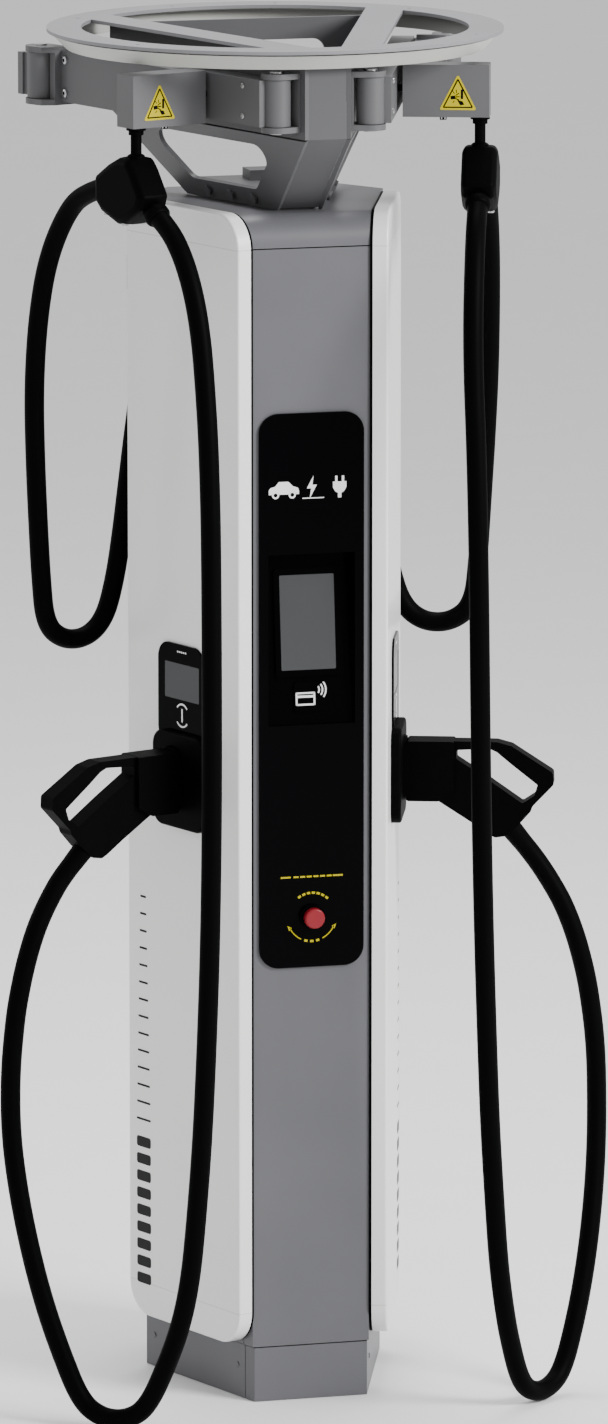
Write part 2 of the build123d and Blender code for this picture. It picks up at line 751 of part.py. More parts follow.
def arm_fittings():
    """Rubber bumper, rope collar, box screw and clevis bolts of the outer arm."""
    near = inner_link_out + link_gap
    gap = 1 + link_gap - 0.5
    a = box_along + 18
    centre = arm_xy(a, near + 1 - gap / 2)
    bumper = Plane(origin=(*centre, (box_bottom + box_top) / 2 + 4), z_dir=outwards) * Cylinder(
        8, gap)
    x, y = rope_xy
    collar = cylinder(x, y, collar_top - collar_drop, collar_top, collar_flange - 4)
    collar += cylinder(x, y, collar_top - 4, collar_top, collar_flange)
    collar -= cylinder(x, y, collar_top - collar_drop, collar_top, rope_diameter / 2 + 0.3)
    sx, sy = arm_xy(box_along + 25, near + 70)
    screw = cylinder(sx, sy, box_bottom - 7, box_bottom, 6)
    bolts = []
    for z in (outer_link_bottom + 16, outer_link_top - 16):
        spot = arm_xy(outer_link_end - web_thickness - 14, near + link_thickness + 2)
        bolts.append(Plane(origin=(*spot, z), z_dir=outwards) * Cylinder(7, 4))
    return group(bumper, collar, screw, *bolts)


def rope():
    x, y = rope_xy
    top = max(z for t, z in clamp_outline)
    return cylinder(x, y, top, box_bottom + box_wall, rope_diameter / 2)


def cable_clamp():
    """Two half shells bolted round the cable, hanging from the rope."""
    plane = clamp_plane()
    whole = slab(plane, clamp_outline, -clamp_width / 2, clamp_width / 2)
    upright = whole.edges().filter_by(lambda e: abs(e.length - clamp_width) < 0.01)
    whole = fillet(upright, clamp_corner)
    low_half = slab(plane, [(-120, 2060), (160, 2060), (160, clamp_parting), (-120, clamp_parting)],
                    -clamp_width, clamp_width)
    lower, upper = whole & low_half, whole - low_half
    bolts = []
    for t in (12.0, 62.0):
        face = min(z for _, z in clamp_outline) + 0.1 * (t + 27)
        for out in (-20, 20):
            x, y = (rope_xy[0] + t * sin_s + out * cos_s, rope_xy[1] + t * cos_s - out * sin_s)
            bolts.append(cylinder(x, y, face - 6, face + 12, 5))
    for bolt in bolts:
        lower -= bolt
    return group(upper, lower, *bolts)


# ---------------------------------------------------------------- bracket
def foot():
    return Vector(leg_half, leg_foot_y, cap_top + 4)


def bend():
    return Vector(leg_half, leg_bend_y, bend_z)


def leaning_plane():
    """Plane of the flared side plate: x along the side, y up the slope, z outwards."""
    run = Vector(*along)
    normal = run.cross(bend() - foot()).normalized()
    if normal.X < 0:
        normal = -normal
    return Plane(origin=foot(), x_dir=run, z_dir=normal)


def upright_out():
    """Line of the upright plate, as an offset from the shoulder axis."""
    dx, dy = leg_half - shoulder[0], leg_bend_y - shoulder[1]
    return dx * cos_s - dy * sin_s


def upright_start():
    dx, dy = leg_half - shoulder[0], leg_bend_y - shoulder[1]
    return dx * sin_s + dy * cos_s


def front_leg():
    """Folded plate, flared forward and then upright under the ring."""
    foot_z, top = cap_top + 4, ring_top - ring_plate_thickness
    points = [(leg_foot_y, foot_z), (leg_bend_y, bend_z), (leg_bend_y, top),
              (leg_bend_y + plate, top), (leg_bend_y + plate, bend_z + 3),
              (leg_foot_y + 1.6 * plate, foot_z)]
    return across(points, leg_half - 0.1)


def bracket_side():
    """Flared lower plate with a window, and the upright plate above its fold."""
    plane = leaning_plane()
    top = plane.to_local_coords(bend())
    high, front = top.Y, top.X
    rear = base_length + rear_foot_reach
    outline = [(0, 0), (base_length, 0), (rear, high), (front, high)]
    body = slab(plane, outline, 0, plate)
    lean = front / high
    lead = strip_width * math.hypot(1, lean)
    back = (rear - base_length) / high
    tail = base_length - strip_width * math.hypot(1, back) * 0.95
    window = [(lead + lean * foot_height, foot_height), (tail + back * foot_height, foot_height),
              (tail + back * window_top, window_top), (lead + lean * window_top, window_top)]
    hole = slab(plane, window, -plate, 2 * plate)
    hole = fillet(hole.edges().filter_by(lambda e: abs(e.length - 3 * plate) < 0.01), window_corner)
    body -= hole
    for s in (60.0, 130.0, 200.0):
        face = plane * Pos(s, foot_height / 2, -plate) * SlotOverall(22, 11)
        body -= extrude(face, amount=3 * plate, dir=plane.z_dir)
    a0, out0 = upright_start(), upright_out()
    upper = arm_block(a0, a0 + side_reach, out0, out0 + plate, bend_z,
                      ring_top - ring_plate_thickness)
    return body + upper


def bracket_bolts():
    """Three cap screws through each side plate's foot."""
    plane = leaning_plane()
    bolts = []
    for s in (60.0, 130.0, 200.0):
        for radius, z0, z1 in ((9, plate + 0.1, plate + 5), (5, -6, plate + 0.1)):
            face = plane * Pos(s, foot_height / 2, z0) * Circle(radius)
            bolts.append(extrude(face, amount=z1 - z0, dir=plane.z_dir))
    right = bolts[0] + bolts[1]
    pairs = [bolts[i] + bolts[i + 1] for i in range(0, len(bolts), 2)]
    return group(*pairs, *[other_side(p) for p in pairs])


def bracket_base():
    """Low box on the cap, inside the side plates, that their feet are bolted to."""
    plane = leaning_plane()
    inset = 1.0
    p0 = (leg_half - inset, leg_foot_y + 2 * plate)
    run = base_length - 2 * plate
    p1 = (p0[0] + run * sin_s - 4, p0[1] + run * cos_s)
    points = [p0, p1, (-p1[0], p1[1]), (-p0[0], p0[1])]
    body = prism(points, cap_top, cap_top + 30)
    step = block(-40, 40, 20, p1[1] - 30, cap_top + 30, cap_top + 48)
    return body + step


def rear_plate():
    """Cross plate between the two upright plates, with a window."""
    half = leg_half + (rear_plate_y - leg_bend_y) * math.tan(math.radians(splay)) - 1
    top = ring_top - ring_plate_thickness
    body = block(-half, half, rear_plate_y, rear_plate_y + plate, bend_z, top)
    hole = block(-rear_window_half, rear_window_half, rear_plate_y - 1, rear_plate_y + plate + 1,
                 bend_z + 26, rear_window_top)
    hole = fillet(hole.edges().filter_by(Axis.Y), window_corner)
    corner = prism([(half - 0.1, rear_plate_y), (half + 20, rear_plate_y + plate + 9),
                    (half - 0.1, rear_plate_y + plate)], bend_z, top)
    return body - hole - corner


def ring_plate():
    """Flat ring with two spokes that lie over the upright plates."""
    z0 = ring_top - ring_plate_thickness
    disc = cylinder(0, 0, z0, ring_top, ring_outer)
    body = disc - cylinder(0, 0, z0, ring_top, ring_inner)
    out0 = upright_out() - spoke_inset
    spoke = arm_block(-200, 1000, out0, out0 + spoke_width, z0, ring_top) & disc
    body = body + spoke + other_side(spoke)
    for angle in (35, 75, 105, 145, 215, 325):
        r = (ring_outer + ring_inner) / 2
        x, y = r * math.cos(math.radians(angle)), r * math.sin(math.radians(angle))
        body -= cylinder(x, y, ring_top - 2, ring_top, 4)
    return body


def ring_light():
    """Translucent band under the ring, hung on a narrow collar."""
    inner = light_bottom_radius - light_wall
    profile = [(inner, light_bottom), (light_bottom_radius, light_bottom),
               (light_top_radius, light_top), (light_top_radius - 10, light_top),
               (light_top_radius - 10, ring_top - ring_plate_thickness),
               (light_top_radius - 18, ring_top - ring_plate_thickness),
               (light_top_radius - 18, light_top - 3)]
    face = make_face(Polyline(*[(r, 0, z) for r, z in profile], close=True))
    return revolve(face, axis=Axis.Z)


# ---------------------------------------------------------------- equipment inside
def board_front():
    """Front face of the mounting plate, which is bolted to the middle posts."""
    return frame_posts()[1][1] - post / 2 - board_thickness


def mounting_plate():
    half = frame_posts()[1][0] + post / 2 - 2
    y = board_front()
    return block(-half, half, y, y + board_thickness, board_bottom, board_top)


def contactors():
    """Four power contactors on the mounting plate."""
    bodies = []
    for x in (-90, -30, 30, 90):
        y = board_front()
        body = block(x - 25, x + 25, y - 85, y, 620, 760)
        bodies.append(body + block(x - 18, x + 18, y - 97, y - 85, 640, 740))
    return group(*bodies)


def controller():
    """Control computer and its power supply."""
    y = board_front()
    box = block(-110, 110, y - 60, y, 1180, 1460)
    supply = block(-60, 60, y - 70, y, 900, 1080)
    return group(box, supply)


# ---------------------------------------------------------------- rear door
hinge_x = -(rear_half + 8.0)
hinge_y = rear_y + 8.0


def rear_door():
    """Pan door over the rear opening, with barrels on its left edge."""
    outer = half_plan(0, casing_offset, 0)
    half = outer[2][0] - 1.5
    y = rear_y + door_gap
    body = block(-half, half, y, y + sheet, door_bottom, door_top)
    inner = outer[2][0] - flange - 3
    high = cap_seam - 6 - rail - 10
    pan = block(-inner, inner, y - door_return, y, door_bottom + 10, high)
    pan -= block(-inner + sheet, inner - sheet, y - door_return, y, door_bottom + 10 + sheet,
                 high - sheet)
    pan -= block(inner - sheet - 1, inner + 1, y - door_return - 1, y - 6, lock_z - 12, lock_z + 28)
    body += pan
    for z in hinge_heights:
        barrel = cylinder(hinge_x, hinge_y, z - hinge_length / 2, z + hinge_length / 2, hinge_radius)
        tab = block(hinge_x, -half + 12, y + sheet - 0.5, y + sheet + 2.5, z - hinge_length / 2,
                    z + hinge_length / 2)
        body = body + barrel + tab
        body -= cylinder(hinge_x, hinge_y, z - hinge_length, z + hinge_length,
                         hinge_pin + pin_clearance)
    shaft = Cylinder(6 + pin_clearance, 6 * sheet, rotation=(90, 0, 0))
    return body - Pos(lock_x, y, lock_z) * shaft


def door_hinges():
    """Lugs on the left side sheet, with a pin through each barrel."""
    solids = []
    wall = other_side(side_sheet())
    for z in hinge_heights:
        reach = hinge_length / 2 + 0.5
        body = cylinder(hinge_x, hinge_y, z - reach - 14, z + reach + 14, hinge_pin)
        for z0 in (z - reach - 14, z + reach):
            lug = cylinder(hinge_x, hinge_y, z0, z0 + 14, hinge_radius)
            lug += block(hinge_x - 6, hinge_x + 5, rear_y - 14, hinge_y, z0, z0 + 14)
            body += lug
        half = half_plan(0, casing_offset + 0.1, 0.1)
        body -= prism(half + mirrored(half), z - 100, z + 100)
        solids.append(body)
    return group(*solids)


def door_lock():
    """Turning handle outside the door, with its cam inside."""
    y = rear_y + door_gap
    shaft = Pos(lock_x, y - 2, lock_z) * Cylinder(6, 22, rotation=(90, 0, 0))
    rose = Pos(lock_x, y + sheet + 3.3, lock_z) * Cylinder(15, 6, rotation=(90, 0, 0))
    grip = block(lock_x - 7, lock_x + 7, y + sheet + 6.3, y + sheet + 14, lock_z - 62, lock_z + 14)
    cam = block(lock_x - 8, lock_x + 8, y - 13, y - 9, lock_z - 8, lock_z + 24)
    return shaft + rose + grip + cam


# ---------------------------------------------------------------- write every node
save("base_plate", base_plate())
save("plinth_front", plinth_front())
save("plinth_covers", plinth_covers())
save("inner_frame", inner_frame())
save("front_cover", front_cover())
save("cap", cap())
save_pair("side_sheet", side_sheet())
save_pair("side_panel", side_panel())
gasket = panel_gasket()
save("panel_gaskets", group(gasket, other_side(gasket)))
save_pair("meter_fascia", meter_fascia())
display = meter_display()
save("meter_displays", group(display, other_side(display)))
save_pair("holster", holster())

save("front_fascia", front_fascia())
save("hmi_screen", screen())
save("card_reader", card_reader())
save("estop_collar", stop_collar())
save("estop_button", stop_button())

save_pair("gun_shell", gun_shell())
save_pair("gun_nose", gun_nose())
save_pair("gun_sleeve", gun_sleeve())
gland = cable_gland()
clamp = cable_clamp()
save_pair("cable_upper", tube(upper_route, cable_diameter) - clamp - gland)
save_pair("cable_lower", tube(lower_route, cable_diameter) - clamp - gun_sleeve())
save("cable_glands", group(gland, other_side(gland)))

save_pair("inner_link", inner_link())
save_pair("outer_link", outer_link())
save_pair("arm_fittings", arm_fittings())
save_pair("elbow_pin", hinge_pin_at(elbow_along, elbow_out))
pin = hinge_pin_at(0, 0)
save("shoulder_pins", group(pin, other_side(pin)))
hinge = shoulder_clevis()
save("shoulder_clevises", group(hinge, other_side(hinge)))
save_pair("rope", rope())
save_pair("cable_clamp", clamp)

save("bracket_front_leg", front_leg())
save_pair("bracket_side", bracket_side())
save("bracket_rear_plate", rear_plate())
save("bracket_base", bracket_base())
save("bracket_bolts", bracket_bolts())
save("ring_plate", ring_plate())
save("ring_light", ring_light())

save("mounting_plate", mounting_plate())
save("contactors", contactors())
save("controller", controller())
save("rear_door", rear_door())
save("door_hinges", door_hinges())
save("door_lock", door_lock())
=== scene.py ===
import bpy
import bmesh
import math
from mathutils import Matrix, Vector


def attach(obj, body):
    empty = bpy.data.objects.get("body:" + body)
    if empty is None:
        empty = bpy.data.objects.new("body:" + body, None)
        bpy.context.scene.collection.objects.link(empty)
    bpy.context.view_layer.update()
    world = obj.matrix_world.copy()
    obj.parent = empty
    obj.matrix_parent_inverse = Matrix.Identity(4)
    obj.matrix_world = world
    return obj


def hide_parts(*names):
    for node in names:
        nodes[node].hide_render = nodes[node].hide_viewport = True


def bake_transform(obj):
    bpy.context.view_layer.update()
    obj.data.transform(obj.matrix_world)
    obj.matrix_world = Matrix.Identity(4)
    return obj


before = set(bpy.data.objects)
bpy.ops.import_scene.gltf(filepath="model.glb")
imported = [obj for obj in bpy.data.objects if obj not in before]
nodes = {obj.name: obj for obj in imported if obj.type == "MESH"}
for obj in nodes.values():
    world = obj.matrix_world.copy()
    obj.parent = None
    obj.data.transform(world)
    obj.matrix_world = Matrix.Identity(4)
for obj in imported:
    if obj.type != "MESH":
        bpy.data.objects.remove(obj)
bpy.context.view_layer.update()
scene = bpy.context.scene


# ---------------------------------------------------------------- frame and equipment inside
# A welded frame of square tube stands on a plate with anchor holes, both in grey primer. A
# galvanised sheet bolted to its middle posts carries the contactors and the controller.
def material(name, colour, rough, grain=900.0, depth=0.08, spread=0.05, metal=0.0, coat=0.0,
             shine=0.5):
    """Principled surface with a fine grain in its bump, and a slow drift in its colour and roughness.

    grain is the grain's scale and depth its strength, spread the drift of the colour, shine the
    level of reflection and coat a clear layer on top.
    """
    made = bpy.data.materials.new(name)
    made.use_nodes = True
    tree = made.node_tree
    shader = tree.nodes["Principled BSDF"]
    place = tree.nodes.new("ShaderNodeTexCoord")
    drift = tree.nodes.new("ShaderNodeTexNoise")
    drift.inputs["Scale"].default_value = 5.0
    drift.inputs["Detail"].default_value = 4.0
    tree.links.new(place.outputs["Object"], drift.inputs["Vector"])
    ramp = tree.nodes.new("ShaderNodeValToRGB")
    ramp.color_ramp.elements[0].position = 0.3
    ramp.color_ramp.elements[1].position = 0.7
    ramp.color_ramp.elements[0].color = (*[v * (1 - spread) for v in colour], 1)
    ramp.color_ramp.elements[1].color = (*[min(1, v * (1 + spread)) for v in colour], 1)
    tree.links.new(drift.outputs["Fac"], ramp.inputs["Fac"])
    tree.links.new(ramp.outputs["Color"], shader.inputs["Base Color"])
    gloss = tree.nodes.new("ShaderNodeMapRange")
    gloss.inputs["To Min"].default_value = max(0.02, rough - 0.05)
    gloss.inputs["To Max"].default_value = min(1.0, rough + 0.05)
    tree.links.new(drift.outputs["Fac"], gloss.inputs["Value"])
    tree.links.new(gloss.outputs["Result"], shader.inputs["Roughness"])
    fine = tree.nodes.new("ShaderNodeTexNoise")
    fine.inputs["Scale"].default_value = grain
    fine.inputs["Detail"].default_value = 2.0
    tree.links.new(place.outputs["Object"], fine.inputs["Vector"])
    bump = tree.nodes.new("ShaderNodeBump")
    bump.inputs["Strength"].default_value = depth
    bump.inputs["Distance"].default_value = 0.0004
    tree.links.new(fine.outputs["Fac"], bump.inputs["Height"])
    tree.links.new(bump.outputs["Normal"], shader.inputs["Normal"])
    shader.inputs["Metallic"].default_value = metal
    shader.inputs["Specular IOR Level"].default_value = shine
    shader.inputs["Coat Weight"].default_value = coat
    shader.inputs["Coat Roughness"].default_value = 0.06
    return made


def finish(made, *names):
    """Gives nodes of the CAD model a material."""
    for name in names:
        nodes[name].data.materials.clear()
        nodes[name].data.materials.append(made)


primer = material("primer", (0.09, 0.09, 0.09), 0.6, grain=500.0, depth=0.2)
zinc = material("zinc", (0.42, 0.43, 0.44), 0.38, grain=160.0, depth=0.06, spread=0.15, metal=0.9)
beige = material("beige", (0.42, 0.41, 0.38), 0.5)
finish(primer, "base_plate", "inner_frame")
finish(zinc, "mounting_plate")
finish(beige, "contactors", "controller")


# ---------------------------------------------------------------- casing
# Folded sheet covers, powder coated in a satin mid grey: the plinth, the front cover, two side
# sheets, the cap and the rear door on its hinges. The door's lock is plain steel.
body_grey = material("body_grey", (0.1, 0.1, 0.109), 0.4, shine=0.35)
steel = material("steel", (0.55, 0.55, 0.56), 0.28, grain=1500.0, depth=0.15, metal=1.0)
finish(body_grey, "plinth_front", "plinth_covers", "front_cover", "side_sheet_a", "side_sheet_b",
       "cap", "rear_door", "door_hinges")
finish(steel, "door_lock")


# ---------------------------------------------------------------- side panels
# Glossy white moulded trays on black rubber gaskets, each with a fine seam near its top and foot.
# A pattern of bars is printed up the rear of each panel.
def seam_lines(made, heights, dark):
    """Thin level seams: the colour darkens within a millimetre of each height."""
    tree = made.node_tree
    shader = tree.nodes["Principled BSDF"]
    before = shader.inputs["Base Color"].links[0].from_socket
    place = tree.nodes.new("ShaderNodeTexCoord")
    split = tree.nodes.new("ShaderNodeSeparateXYZ")
    tree.links.new(place.outputs["Object"], split.inputs["Vector"])
    for height in heights:
        near = tree.nodes.new("ShaderNodeMath")
        near.operation = "COMPARE"
        near.inputs[1].default_value = height
        near.inputs[2].default_value = 0.0009
        tree.links.new(split.outputs["Z"], near.inputs[0])
        mix = tree.nodes.new("ShaderNodeMix")
        mix.data_type = "RGBA"
        mix.inputs[7].default_value = (*dark, 1)
        tree.links.new(near.outputs["Value"], mix.inputs[0])
        tree.links.new(before, mix.inputs[6])
        before = mix.outputs[2]
    tree.links.new(before, shader.inputs["Base Color"])


SIDES = (("a", -1), ("b", 1))
SPLAY = math.radians(19.5)
SIN, COS = math.sin(SPLAY), math.cos(SPLAY)
FRONT_HALF, FRONT_Y = 102.5, -237


def side(k, s, out, z):
    """Point of the post's side in millimetres: s back along it and out from it."""
    return Vector((k * (FRONT_HALF + s * SIN + out * COS), FRONT_Y + s * COS - out * SIN, z)) / 1000


def on_side(k, face):
    """Flat place on side k for printed shapes, at a face that stands out from the casing."""
    return lambda s, z, out: side(k, s, face + out, z)


def piece(name, verts, faces, made, body, smooth=True, bevel=0.0):
    """Mesh object that rides on a body of the frame, with rounded edges where it has a bevel."""
    mesh = bpy.data.meshes.new(name)
    mesh.from_pydata([tuple(v) for v in verts], [], faces)
    work = bmesh.new()
    work.from_mesh(mesh)
    bmesh.ops.recalc_face_normals(work, faces=work.faces)
    work.to_mesh(mesh)
    work.free()
    thing = bpy.data.objects.new(name, mesh)
    scene.collection.objects.link(thing)
    mesh.materials.append(made)
    if smooth:
        mesh.shade_smooth()
    if bevel:
        round_off = thing.modifiers.new("round", "BEVEL")
        round_off.width = bevel
        round_off.segments = 3
        round_off.limit_method = "ANGLE"
        round_off.angle_limit = math.radians(25)
        round_off.harden_normals = True
    if body:
        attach(thing, body)
    return thing


def slabs(name, outlines, place, low, high, made, body):
    """Flat shapes, each an outline in millimetres, from low to high off a face."""
    verts, faces = [], []
    for outline in outlines:
        first, count = len(verts), len(outline)
        verts += [place(u, v, low) for u, v in outline]
        verts += [place(u, v, high) for u, v in outline]
        faces.append([first + i for i in range(count)])
        faces.append([first + count + i for i in reversed(range(count))])
        for i in range(count):
            j = (i + 1) % count
            faces.append([first + i, first + j, first + count + j, first + count + i])
    return piece(name, verts, faces, made, body, smooth=False)


def round_box(cx, cy, width, height, radius, steps=6):
    """Outline of a rectangle with round corners."""
    points = []
    for sx, sy, start in ((1, 1, 0), (-1, 1, 90), (-1, -1, 180), (1, -1, 270)):
        x, y = cx + sx * (width / 2 - radius), cy + sy * (height / 2 - radius)
        for i in range(steps + 1):
            turn = math.radians(start + 90 * i / steps)
            points.append((x + radius * math.cos(turn), y + radius * math.sin(turn)))
    return points


panel_white = material("panel_white", (0.79, 0.795, 0.785), 0.3, depth=0.03, spread=0.015, coat=0.2)
seam_lines(panel_white, (2.042, 0.163), (0.62, 0.62, 0.61))
black_rubber = material("black_rubber", (0.0011, 0.0011, 0.0013), 0.5, grain=700.0, depth=0.2,
                        shine=0.02)
panel_ink = material("panel_ink", (0.008, 0.008, 0.009), 0.45, depth=0.02, shine=0.1)
finish(panel_white, "side_panel_a", "side_panel_b")
finish(black_rubber, "panel_gaskets")

PANEL_FACE = 35
BAR_PLACE, BAR_WIDTH, BAR_PITCH = 295, 44, 31
WIDE_BARS, THIN_BARS = 9, 14
WIDE_START, THIN_START = 170, 459
for tag, k in SIDES:
    bars = [round_box(BAR_PLACE, WIDE_START + BAR_PITCH * i, BAR_WIDTH, 19, 5)
            for i in range(WIDE_BARS)]
    bars += [round_box(BAR_PLACE, THIN_START + BAR_PITCH * i, BAR_WIDTH - 2 * i, 4, 1.8)
             for i in range(THIN_BARS)]
    slabs("panel_pattern_" + tag, bars, on_side(k, PANEL_FACE), 0.05, 0.3, panel_ink, "post")


# ---------------------------------------------------------------- front fascia
# Gloss black plate with a recess for the screen and the card reader, which lean back. The screen
# has a matt grey glass. White pictograms are printed on the plate and on the reader.
FASCIA_Y = -242
RECESS_Y, RECESS_TOP = -203, 1508
LEAN = math.radians(5.7)


def front(u, v, out):
    """Point of the fascia in millimetres: u across, v up and out from its face."""
    return Vector((u, FASCIA_Y - out, v)) / 1000


def recess(u, v, out):
    """Point of the leaning back of the recess."""
    y = RECESS_Y - (RECESS_TOP - v) * math.tan(LEAN)
    return Vector((u, y - out * math.cos(LEAN), v + out * math.sin(LEAN))) / 1000


def arc(radius, start, end, width, centre=(0, 0), steps=24):
    """Outline of a band along an arc, in degrees."""
    points = []
    for r, order in ((radius + width / 2, range(steps + 1)),
                     (radius - width / 2, reversed(range(steps + 1)))):
        for i in order:
            turn = math.radians(start + (end - start) * i / steps)
            points.append((centre[0] + r * math.cos(turn), centre[1] + r * math.sin(turn)))
    return points


def bar(x0, y0, x1, y1, width):
    """Outline of a straight stroke."""
    length = math.hypot(x1 - x0, y1 - y0)
    nx, ny = -(y1 - y0) / length * width / 2, (x1 - x0) / length * width / 2
    return [(x0 + nx, y0 + ny), (x0 - nx, y0 - ny), (x1 - nx, y1 - ny), (x1 + nx, y1 + ny)]


def shifted(outline, x, y):
    """Outline moved across and up."""
    return [(x + u, y + v) for u, v in outline]


gloss_black = material("gloss_black", (0.001, 0.001, 0.0013), 0.14, depth=0.01, shine=0.02)
screen_grey = material("screen_grey", (0.057, 0.059, 0.061), 0.2, grain=2500.0, depth=0.02,
                       shine=0.15)
plate_ink = material("plate_ink", (0.82, 0.82, 0.82), 0.45, depth=0.02, spread=0.02)
finish(gloss_black, "front_fascia", "hmi_screen", "card_reader")

BOLT = [(3, 20), (-9, -2), (-1, -2), (-4, -20), (9, 4), (1, 4)]
CAR = [(-27, -8), (-27, 0), (-24, 4), (-16, 6), (-9, 14), (8, 14), (16, 6), (25, 3), (27, -2),
       (27, -8), (21, -8), (19, -4), (15, -2), (11, -4), (9, -8), (-9, -8), (-11, -4), (-15, -2),
       (-19, -4), (-21, -8)]
PLUG = [(-12, 8), (-12, -2), (-8, -9), (-3, -12), (-3, -20), (3, -20), (3, -12), (8, -9), (12, -2),
        (12, 8), (8, 8), (8, 18), (4, 18), (4, 8), (-4, 8), (-4, 18), (-8, 18), (-8, 8)]
wheels = [arc(5, 0, 360, 3, (x, 1613)) for x in (-65, -35)]
line = bar(-17, 1606, 22, 1606, 1.61)
slabs("fascia_pictogram", [shifted(CAR, -50, 1622), shifted(BOLT, 0, 1625), shifted(PLUG, 50, 1625),
                           line] + wheels, front, 0.05, 0.35, plate_ink, "post")
slabs("display_glass", [round_box(-2, 1384, 98, 165, 2)], recess, 6.05, 6.6, screen_grey, "post")
card = [round_box(-9, z, 34, 3, 1.4) for z in (1261, 1241)]
card += [round_box(x, 1251, 3, 23, 1.4) for x in (-25, 7)]
card += [round_box(-9, 1255, 30, 4, 0.6)]
waves = [arc(radius, -38, 38, 2.6, (7, 1266)) for radius in (9, 15, 21)]
slabs("card_pictogram", card + waves, recess, 5.05, 5.4, plate_ink, "post")


# ---------------------------------------------------------------- emergency stop
# Red moulded mushroom head in a black collar, screwed through the fascia. Yellow dashes, arcs and
# turning arrows are printed round it.
STOP_Z, DASH_Z, MARK_RADIUS = 867, 938, 44
stop_red = material("stop_red", (0.23, 0.006, 0.014), 0.34, grain=1200.0, shine=0.3)
black_plastic = material("black_plastic", (0.0011, 0.0011, 0.0013), 0.5, grain=1600.0, depth=0.2,
                         shine=0.02)
sign_yellow = material("sign_yellow", (0.47, 0.39, 0.006), 0.4, depth=0.03, spread=0.03, shine=0.1)
finish(stop_red, "estop_button")
finish(black_plastic, "estop_collar")

middle = (0, STOP_Z)
marks = [bar(-56, DASH_Z, -38, DASH_Z, 3), bar(38, DASH_Z, 56, DASH_Z, 3)]
marks += [bar(x, DASH_Z, x + 9, DASH_Z, 3) for x in (-33, -21, -9, 3, 15, 27)]
marks += [arc(42, 90 + turn, 98 + turn, 4, middle, 4) for turn in (-44, -32, -20, -8, 4, 16, 28)]
marks += [arc(MARK_RADIUS, turn, turn + 39, 1.8, middle) for turn in (205, 296)]
marks += [arc(MARK_RADIUS, turn, turn + 8, 4, middle, 4) for turn in (252, 266, 280)]
for sign in (-1, 1):
    marks.append([(sign * MARK_RADIUS, STOP_Z - 15), (sign * 36, STOP_Z - 19),
                  (sign * 41, STOP_Z - 24)])
slabs("stop_marks", marks, front, 0.05, 0.35, sign_yellow, "post")


# ---------------------------------------------------------------- meters and outlets
# A gloss black plate on each panel holds a small display over the holster. It is marked with one
# or two strokes between arcs, the outlet's number, and a row of dashes over the display.
METER_FACE, OUTLET_Z, METER_MARK_Z, METER_S = 39, 1206, 1318, 165
finish(gloss_black, "meter_fascia_a", "meter_fascia_b")
finish(screen_grey, "meter_displays")
for tag, k in SIDES:
    strokes = [METER_S] if tag == "a" else [METER_S - 4, METER_S + 4]
    outlet = [round_box(s, OUTLET_Z, 4, 24, 1.8) for s in strokes]
    outlet += [arc(20, turn, turn + 100, 3, (METER_S, OUTLET_Z)) for turn in (40, 220)]
    slabs("outlet_mark_" + tag, outlet, on_side(k, METER_FACE), 0.05, 0.35, plate_ink, "post")
    dashes = [round_box(METER_S + x, METER_MARK_Z, 4, 3, 1) for x in (-11, -5, 1, 7, 13)]
    slabs("meter_mark_" + tag, dashes, on_side(k, METER_FACE), 0.05, 0.3, plate_ink, "post")


# ---------------------------------------------------------------- holsters and connectors
# Moulded in grained black plastic: a holster on each panel, and the connector's nose and handle.
# The sleeve that keeps the cable from kinking at the handle is rubber.
finish(black_plastic, "holster_a", "holster_b", "gun_shell_a", "gun_shell_b", "gun_nose_a",
       "gun_nose_b")
finish(black_rubber, "gun_sleeve_a", "gun_sleeve_b")


# ---------------------------------------------------------------- bracket
# Plates cut from sheet, bent and welded, in the same coating as the casing and bolted down on the
# cap: a front leg, two leaning sides with windows, a rear plate and a low base.
bracket_grey = material("bracket_grey", (0.078, 0.078, 0.082), 0.45, shine=0.35)
finish(bracket_grey, "bracket_front_leg", "bracket_side_a", "bracket_side_b",
       "bracket_rear_plate", "bracket_base", "bracket_bolts")


# ---------------------------------------------------------------- ring
# Light grey ring plate with two spokes, cut from sheet and laid on the bracket, over a moulded opal
# band. Countersunk steel screws hold the plate down.
SCREW_CIRCLE, SCREW_Z = 0.368, 2.398


def turned(name, rings, spots, made, body, sides=32):
    """Lathed shape repeated at each spot: rings are (radius, height) along the spot's axis."""
    verts, faces = [], []
    for centre, axis in spots:
        across = axis.orthogonal().normalized()
        other = axis.cross(across).normalized()
        first = len(verts)
        for radius, height in rings:
            for i in range(sides):
                turn = 2 * math.pi * i / sides
                offset = across * math.cos(turn) + other * math.sin(turn)
                verts.append(centre + offset * radius / 1000 + axis * height / 1000)
        for r in range(len(rings) - 1):
            for i in range(sides):
                j = (i + 1) % sides
                a, b = first + r * sides, first + (r + 1) * sides
                faces.append([a + i, a + j, b + j, b + i])
        faces.append([first + i for i in range(sides)])
        last = first + (len(rings) - 1) * sides
        faces.append([last + i for i in reversed(range(sides))])
    thing = piece(name, verts, faces, made, body)
    thing.data.set_sharp_from_angle(angle=math.radians(40))
    return thing


ring_grey = material("ring_grey", (0.19, 0.19, 0.2), 0.4)
opal = material("opal", (0.41, 0.41, 0.385), 0.38, grain=400.0, depth=0.02, spread=0.02)
opal.node_tree.nodes["Principled BSDF"].inputs["Subsurface Weight"].default_value = 0.15
opal.node_tree.nodes["Principled BSDF"].inputs["Subsurface Radius"].default_value = (0.01, 0.01, 0.01)
finish(ring_grey, "ring_plate")
finish(opal, "ring_light")

